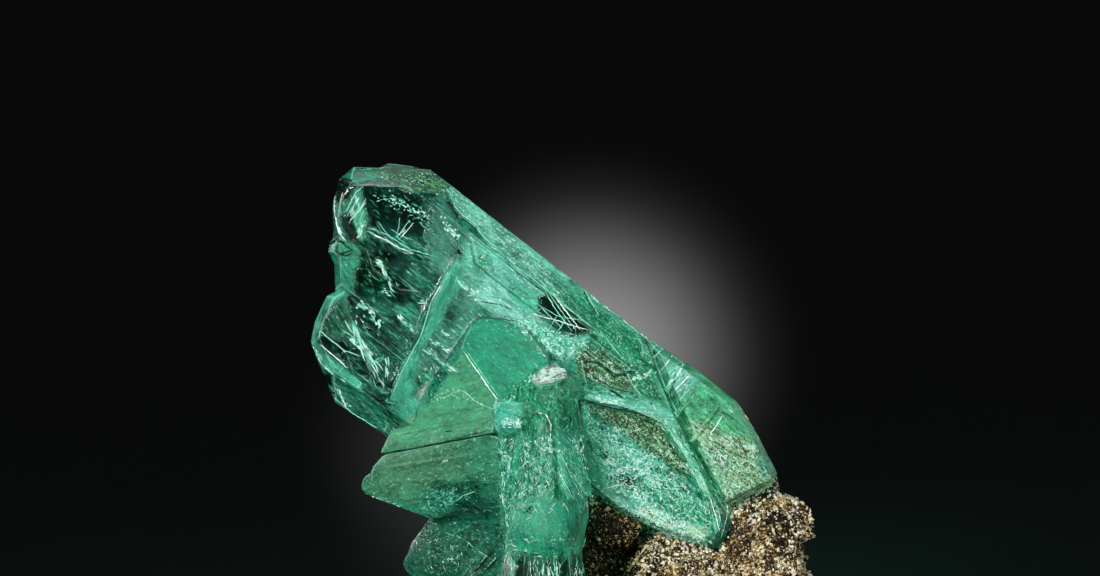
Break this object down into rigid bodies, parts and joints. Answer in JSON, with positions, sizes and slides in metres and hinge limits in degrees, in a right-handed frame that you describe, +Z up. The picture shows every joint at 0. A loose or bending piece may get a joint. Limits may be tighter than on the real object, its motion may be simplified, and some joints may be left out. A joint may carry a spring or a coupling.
{
  "type": "phosphophyllite specimen",
  "caption": "Tilted blue-green crystal with a twin limb, blades and an upright column of prisms, grown together on a lump of granular rock with a flat underside to rest on.",
  "frame": {"origin": "middle of the specimen's footprint on the plane it rests on", "axes": "+Z up, -Y towards the viewer of the main face, the main crystal falls from upper left (-X) to lower right (+X)"},
  "size_m": [0.0748, 0.0514, 0.0724],
  "materials": {
    "crystal": "clear to cloudy blue-green crystal with flat glossy faces, frosted bands and white internal fractures",
    "rock": "granular brown, gold and black rock with small glinting grains"
  },
  "bodies": {
    "root": {"crystal_cluster": "crystal", "matrix": "rock"}
  },
  "joints": []
}
